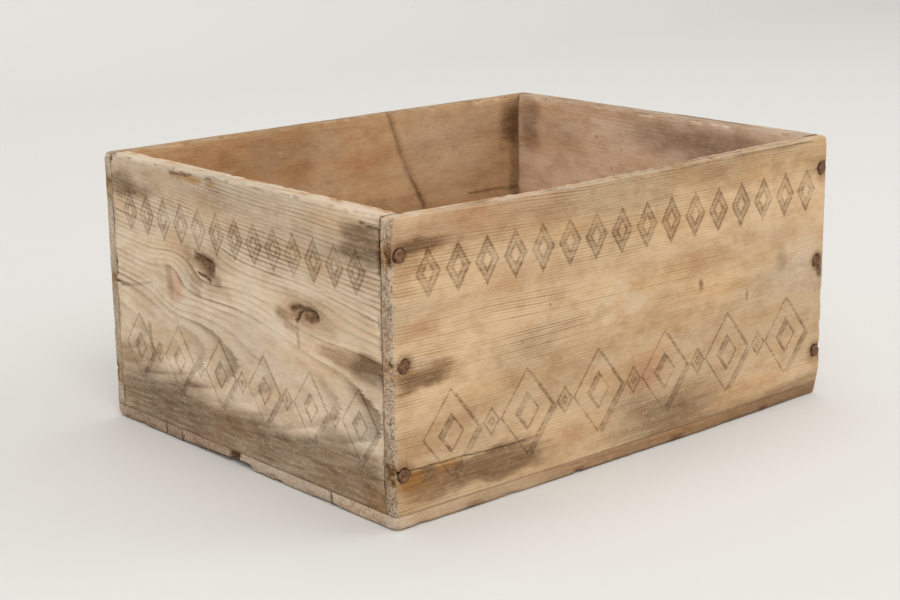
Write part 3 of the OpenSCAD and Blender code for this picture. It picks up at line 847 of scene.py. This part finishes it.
rightEnd = {
    **endBoard, "node": "right_end", "face": "right", "seed": 401, "along": (0, 1, 0), "inward": (-1, 0, 0),
    "steps": {**wallSteps, "outer": 1.9, "inner": 1.9, "along": 1.8, "cap": 1, "fineAlong": []},
    "log": {"depth": (20, 8), "height": (120, 126), "ring": 3, "juvenile": 4, "wave": 9},
    "knots": [(90, 120, 14, 10)], "look": {**endLook, "tones": rightTones, "printFade": 0.5},
    "film": 0.2, "footDirt": 0.3, "seams": (0.9, 0), "rimPaleAndHighlight": 0.1, "rimTopDarkening": 0.55,
    "rim": [(0.8, 0.6, 0.8, (60, 7), (130, 8))],
    "strokes": {
        ("hollow", "out"): [(3, 4, 1, (82, 117), (90, 121), (99, 119))],
        ("dark", "in"): [
            (1.4, 1.4, 0.7, (223, 26), (223.5, 26.3)), (1.3, 1.3, 0.6, (195, 33), (195.5, 33)),
            (1.2, 1.2, 0.6, (206, 50), (206.5, 50)),
        ],
    },
    "stains": {
        ("dirt", "out"): [(90, 120, 22, 13, 0.8, 0.5), (164, 182, 175, 20, 0.4, 0.6)],
        ("dirt", "in"): [
            (303, 25, 10, 18, 0.6, 0.6), (120, 17, 60, 9, 0.7, 0.42), (80, 30, 50, 14, 0.8, 0.35),
            (270, 30, 26, 12, 0.8, 0.25),
        ],
        ("rust", "in"): [(110, 20, 60, 12, 0.9, 0.35)],
        ("calm", "in"): [(164, 100, 230, 120, 0.2, 0.7)],
    },
}

bottomNails = [name for name in nails if "bottom" in name]
bareAcross = barePlace - frontY
endReach = 20  # bottom nails farther than this from both ends go into the long sides
underStains = {("calm", "out"): (210, 164, 230, 190, 0.2, 0.3),
               ("dirt", "out"): (210, 164, 196, 150, 0.15, 0.4)}
leftFoot = [("dirt", 0, 252, 9, 76, 0.4, 0.42), ("pale", 0, 112, 9, 60, 0.4, 0.5)]
frontFoot = [("dirt", 330, 0, 150, 16, 0.6, 0.4), ("rust", 385, 0, 70, 14, 0.7, 0.3),
             ("pale", 3, 4, 9, 9, 0.6, 0.55), ("pale", 66, 0, 60, 5, 0.8, 0.25),
             ("dirt", 150, 0, 190, 16, 0.9, 0.22)]
brokenRust = [("rust", 4, bareAcross, 7, 5, 0.5, 1), ("dirt", 4, bareAcross, 7, 5, 0.5, 0.5)]


def bottomBoard(node, seed, corners=(), seams=(0.8, 0.8), shape=None, fineUp=(), marks=()):
    # one lengthwise bottom board, with the underside as its outer face; its marks show on both sides
    low, high = nodeBox(node)
    own = [c - low for name in bottomNails for c, _ in nails[name] if low[1] < c[1] < high[1]]
    alongEdge = [(c[0], 4, 0.9) for c in own if endReach < c[0] < high[0] - low[0] - endReach]
    stains = {key: [stain] for key, stain in underStains.items()}
    for layer, *stain in (*leftFoot, *marks):
        for side in ("out", "in"):
            stains.setdefault((layer, side), []).append(stain)
    return {
        "node": node, "slot": "bottom_wood", "face": "under", "seed": seed,
        "along": (1, 0, 0), "inward": (0, 0, 1), "up": (0, 1, 0),
        "edges": {"outerTop": 0.6, "innerTop": 0.5, "outerFoot": 0.6, "innerFoot": 0.5, "end": 0.5,
                  "turns": 4, "corners": [*corners, ((0, 0), (1, 0), 2.2), ((0, 1), (1, 0), 2.2)]},
        "shape": shape, "nails": bottomNails, "film": 0.2, "footDirt": 0.06, "seams": seams, "streak": 0.7,
        "steps": {"outer": 3, "inner": 3, "rim": 1.2, "along": 2.2, "cap": 6, "fineInner": fineUp,
                  "fineAlong": [(8, 14, 0.8), (-6, 10, 0.9), *alongEdge],
                  "fineUp": [*fineUp, *((c[1], 4, 0.9) for c in own)]},
        "log": {"depth": (30 + seed % 9, 24), "height": (-40 - seed % 31, -44), "ring": 2.6, "juvenile": 0,
                "wave": 5},
        "knots": [], "rim": [], "strokes": {}, "stains": stains, "look": bottomLook,
    }


def footCorners(side):  # worn edges of an outer bottom board, at its low (0) or high (1) long side
    return [((1, 0), (2, side), 2.2), ((0, 0), (2, side), 3.2), ((0, 1), (2, side), 3.2)]


breakHeight = barePlace - nodeBox("bottom_board_middle")[0][1]
boards = [
    frontSide, leftEnd, backSide, rightEnd,
    bottomBoard("bottom_board_front", 503, footCorners(0), (0, 0.8), wornFoot, [(4, 8, 0.9)], frontFoot),
    bottomBoard("bottom_board_middle", 517, (), (0.8, 0.8), brokenFoot, [(breakHeight, 16, 0.8)], brokenRust),
    bottomBoard("bottom_strip", 523),
    bottomBoard("bottom_board_back", 541, footCorners(1), (0.8, 0), knockedToes, [(62, 8, 0.9)]),
]


def zipCap(ring, height, rimMiddle, footMiddle):
    # triangles across a flattened end ring: its two chains run from foot to rim, and each step up one chain
    # makes a triangle with the place of the same height on the other
    order = np.roll(np.arange(len(ring)), -footMiddle)
    turn = (rimMiddle - footMiddle) % len(ring)
    outer, inner = order[:turn + 1], np.append(order[:1], order[turn:][::-1])
    outerH, innerH = (np.maximum.accumulate(height[chain[1:]]) for chain in (outer, inner))
    byOuter = np.stack([outer[:-1], outer[1:], inner[np.searchsorted(innerH, outerH, "left")]], axis=1)
    byInner = np.stack([outer[np.searchsorted(outerH, innerH, "right")], inner[1:], inner[:-1]], axis=1)
    triangles = np.concatenate([byOuter, byInner])
    sameEnds = (triangles == np.roll(triangles, 1, axis=1)).any(axis=1)
    return ring[triangles[~sameEnds]]


def gridMesh(name, points, loop=None):
    # closed mesh from a grid of rings: quads between rings, and a cap on each end ring, zipped or one face
    rings, count = points.shape[:2]
    index = np.arange(rings * count).reshape(rings, count)
    after = np.roll(index, -1, axis=1)
    quads = np.stack([index[:-1], after[:-1], after[1:], index[1:]], axis=-1).reshape(-1, 4)
    flat = points.reshape(-1, 3)
    a, b, c, d = np.moveaxis(flat[quads], 1, 0)
    outward = sum(np.einsum("ij,ij->", a, np.cross(*pair)) for pair in ((b, c), (c, d)))  # volume, signed
    first, last = (zipCap(ring, *loop) if loop else ring[None] for ring in (index[0], index[-1]))
    parts = [quads, first[:, ::-1], last]
    if outward < 0:
        parts = [part[:, ::-1] for part in parts]
    mesh = bpy.data.meshes.new(name)
    mesh.from_pydata(flat * mm, [], [face for part in parts for face in part.tolist()])
    mesh.shade_smooth()
    return mesh


def addAttribute(mesh, name, kind, *values):  # values for every vertex, read by the materials
    made = mesh.attributes.new(name, kind, "POINT")
    field = {"FLOAT": "value", "FLOAT_VECTOR": "vector", "FLOAT_COLOR": "color"}[kind]
    made.data.foreach_set(field, np.stack(values, axis=-1).astype(np.float32).ravel())


def addObject(name, data):  # a new object, linked to the scene
    made = bpy.data.objects.new(name, data)
    bpy.context.scene.collection.objects.link(made)
    return made


def addPiece(name, mesh, material, slot, *nodes):  # a mesh rides on the box in place of its CAD nodes
    mesh.materials.append(material)
    piece = addObject(name, mesh)
    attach(piece, "root")
    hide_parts(*nodes)


uneven = {"along": 4.2, "down": 3.2, "soft": 0.4, "torn": 2.6, "endGrain": 8}  # sways in mm, soft a share


def makeBoard(board, material):
    # the grid with its worn shape, then moved along its normals by the wear; stains go into attributes
    g = boardGrid(board)
    if board["shape"]:
        board["shape"](g, toWorld(g))
    points = toWorld(g)
    under = board["face"] == "under"
    along, down = faceMap(points, board["face"])
    grain = np.stack([along, down, g["t"]], axis=-1)  # along the grain, across it and into the board
    bendX = uneven["along"] * (fractal(grain, (8, 5, 5), 17, 3) - 0.5)
    bendD = uneven["down"] * (fractal(grain, (8, 5, 5), 19, 3) - 0.5)
    where = {"bent": (along + bendX, down + bendD),  # strokes wander a little, hollows more
             "soft": (along + uneven["soft"] * bendX, down + uneven["soft"] * bendD)}
    g["torn"] = uneven["torn"] * (fractal(points, 3.4, 41, 2) - 0.5)  # makes the nail pits ragged
    g["crumbs"] = ease(0.5, 0.62, fractal(points, 3.2, 47, 2))  # end grain torn out by nails
    g["wallEnd"] = g["endCap"] * (not under)
    standOut = wearDepth(board, g, points, where, grain)
    if under:
        standOut = np.minimum(standOut, 0)  # nothing below the ground
    worn = points + (g["normal"] * standOut[..., None]) @ g["axes"]
    layers = stainLayers(board, g, where, grain)
    generalWear(board, g, points, grain, layers)
    inner = ease(0.35, 0.65, g["t"] / g["size"][1]) * (0.6 if under else 1.0)  # milder on the bottom
    edge = uneven["endGrain"] * (fractal(points, (6, 6, 5), board["seed"] + 51, 3) - 0.5)
    endGrain = ease(2.4, 0.3, np.minimum(g["a"], g["size"][0] - g["a"]) + edge)
    endGrain = np.maximum(g["endCap"] ** 3, endGrain)
    mesh = gridMesh(board["node"], worn, g["loop"])
    addAttribute(mesh, "boardMap", "FLOAT_VECTOR", along, down, g["t"])
    addAttribute(mesh, "ringCount", "FLOAT", ringCount(board, g, grain))
    addAttribute(mesh, "flush", "FLOAT", layers["flush"])
    addAttribute(mesh, "zones", "FLOAT_COLOR", endGrain, inner, layers["calm"], layers["dark"])
    addAttribute(mesh, "stains", "FLOAT_COLOR", *(layers[k] for k in ("dirt", "rust", "pale", "warm")))
    addPiece(board["node"] + "_worn", mesh, material, board["slot"], board["node"])
    print("board:", board["node"], len(mesh.polygons), "faces")


materials = {}  # boards with the same look share one
for board in boards:
    look = id(board["look"])
    if look not in materials:
        materials[look] = agedPine("pine_" + board["node"], board["look"])
    makeBoard(board, materials[look])


# Nails

# dome and rough hammer marks in mm, lean in degrees, the other sizes as shares of the head's radius
nailShape = {"sides": 28, "dome": 0.35, "rough": 0.22, "lean": 3, "shank": 0.33, "head": 0.32, "uneven": 0.16}
nailTones = {"deep": (85, 57, 40), "worn": (132, 97, 70), "pit": (58, 37, 25)}


def rustySteel():  # two browns blended by coarse noise, with fine dark pits
    w = Wiring("rusty_nail")
    shades = {key: tone(*value) for key, value in nailTones.items()}
    texture = w.add("TexCoord", {}, "Object")
    place = w.add("VectorMath", {0: texture, "Scale": 1 / mm}, operation="SCALE")
    scale = w.noise(place, 2.2, 5, 0.65)
    pits = w.noise(place, 0.6, 4, 0.7)
    colour = w.mix(w.band(scale, 0.35, 0.65), shades["deep"], shades["worn"])
    colour = w.mix(w.band(pits, 0.52, 0.74, 0.0, 0.6), colour, shades["pit"])
    w.fill(w.nodes["Principled BSDF"], {"Metallic": 0.05})
    return w.finish(colour, w.band(pits, 0.3, 0.7, 0.65, 0.9), 0.25, pits, 0.3)


def nailSurface(centre, extent, axis, point):
    # profile (radius, distance from the head's top) turned round the shank, with a hammered, pitted head
    length = extent[axis]
    across = [i for i in range(3) if i != axis]
    headR = extent[across].min() / 2
    shankR, headT = nailShape["shank"] * headR, nailShape["head"] * headR
    dome = np.linspace(0.04, 1, 8)
    radius = np.concatenate([headR * dome * 0.93, headR * np.array([1, 1, 0.94]),
                             shankR * np.array([1.15, 1, 1, 1, 0.12])])
    down = np.concatenate([nailShape["dome"] * dome ** 2, headT * np.array([0.5, 0.85, 1.05, 1.6, 2.2]),
                           [length * 0.5, length - 3.2 * shankR, length]])
    angle = np.linspace(0, 2 * np.pi, nailShape["sides"], endpoint=False)
    r, a = np.meshgrid(radius, angle, indexing="ij")
    d = np.broadcast_to(down[:, None], r.shape)
    head = ease(headT * 1.4, headT * 0.8, d)
    top = np.array(centre, float)
    top[axis] = centre[axis] - point * length / 2
    seed = int(abs(centre @ np.array([3, 5, 7])) * 10) % 977  # from the nail's place
    blob = np.stack([np.cos(a), np.sin(a), 0 * a], axis=-1) * 3  # noise round this ring makes the head uneven
    r = r * (1 + head * nailShape["uneven"] * (fractal(blob, 1.6, seed, 2) - 0.5))
    lean = np.radians(nailShape["lean"]) * (latticeValue(np.array(seed), 1, 2, 5) - 0.5) * 2
    x, y = r * np.cos(a), r * np.sin(a)
    hammered = fractal(np.stack([x, y, d], axis=-1), 1.4, seed, 2) - 0.5
    d = d + head * (x * np.tan(lean) + nailShape["rough"] * hammered)
    points = np.zeros(r.shape + (3,))
    points[..., across[0]], points[..., across[1]] = x, y
    points[..., axis] = point * d
    return top + points


def makeNails(node, point, material):  # one piece of separate nails, meshes joined without touching
    joined = bmesh.new()
    for centre, extent in nails[node]:
        one = gridMesh(node, nailSurface(centre, extent, nailAxis(node), point))
        joined.from_mesh(one)
        bpy.data.meshes.remove(one)
    mesh = bpy.data.meshes.new(node)
    joined.to_mesh(mesh)
    joined.free()
    mesh.shade_smooth()
    addPiece(node + "_rusted", mesh, material, "rusty_nails", node)


rusty = rustySteel()
for node in nails:
    makeNails(node, -1 if "nails_back" in node else 1, rusty)
print("nails: made")


# Stage, light and camera

floor = {"tone": (219, 217, 213), "front": -4, "bend": 1.6, "radius": 1.2, "high": 5, "half": 6,  # in metres
         "below": 0.1 * mm, "turns": 24}  # a hair below the boards
lamps = {  # place, target and size in metres, and power
    "key": ((-1.4, -2.2, 2.6), (0, 0, 0.1), 2.2, 46),
    "fill": ((2.2, -1.6, 1.8), (0, 0, 0.1), 2.0, 18),
    "wash": ((0.6, 0.9, 3.2), (0.6, 2.8, 1.0), 2.4, 22),
}
view = {"azimuth": -41.06, "elevation": 14.57, "roll": -0.76,  # in degrees
        "distance": 1.4008, "target": (0, 0.02384, 0.07683),  # in metres
        "lens": 73.97, "sensor": 36.0}  # in mm
skyStrength = 0.77


def sweep():  # floor that curves up into the backdrop: flat, quarter circle and wall, carried along X
    turn = np.radians(np.linspace(0, 90, floor["turns"]))
    radius, bend = floor["radius"], floor["bend"]
    y = np.concatenate([[floor["front"]], bend + radius * np.sin(turn), [bend + radius]])
    z = np.concatenate([[0], radius - radius * np.cos(turn), [floor["high"]]]) - floor["below"]
    x = np.array([-floor["half"], floor["half"]])
    points = np.stack(np.broadcast_arrays(x[:, None], y, z), axis=-1)
    index = np.arange(2 * len(y)).reshape(2, -1)
    quads = np.stack([index[0, :-1], index[1, :-1], index[1, 1:], index[0, 1:]], axis=-1)
    mesh = bpy.data.meshes.new("sweep")
    mesh.from_pydata(points.reshape(-1, 3), [], quads.tolist())
    mesh.shade_smooth()
    mesh.materials.append(Wiring("paper_sweep").finish(tone(*floor["tone"]), 0.9, 0.1))
    addObject("sweep", mesh)


def lamp(name, place, target, size, power):  # a round soft light, turned to face its target
    data = bpy.data.lights.new(name, "AREA")
    data.shape, data.size, data.energy = "DISK", size, power
    made = addObject(name, data)
    made.location = place
    made.rotation_euler = (Vector(target) - Vector(place)).to_track_quat("-Z", "Y").to_euler()


def camera():  # stands back from its target along azimuth and elevation, and rolls round that line
    az, el, roll = (math.radians(view[k]) for k in ("azimuth", "elevation", "roll"))
    back = Vector((math.sin(az) * math.cos(el), -math.cos(az) * math.cos(el), math.sin(el)))
    right = (-back).cross(Vector((0, 0, 1))).normalized()
    up = right.cross(-back)
    turned = right * math.cos(roll) + up * math.sin(roll)
    upright = up * math.cos(roll) - right * math.sin(roll)
    data = bpy.data.cameras.new("camera")
    data.lens, data.sensor_width = view["lens"], view["sensor"]
    made = addObject("camera", data)
    made.matrix_world = Matrix.Translation(Vector(view["target"]) + back * view["distance"]) @ Matrix(
        (turned, upright, back)).transposed().to_4x4()
    bpy.context.scene.camera = made


sweep()
for name, setting in lamps.items():
    lamp(name, *setting)
world = bpy.data.worlds.new("soft_sky")
world.use_nodes = True
sky = world.node_tree.nodes["Background"]
sky.inputs["Color"].default_value = (1, 1, 1, 1)
sky.inputs["Strength"].default_value = skyStrength
bpy.context.scene.world = world
camera()
bpy.context.scene.view_settings.view_transform = "Standard"
print("stage: done")
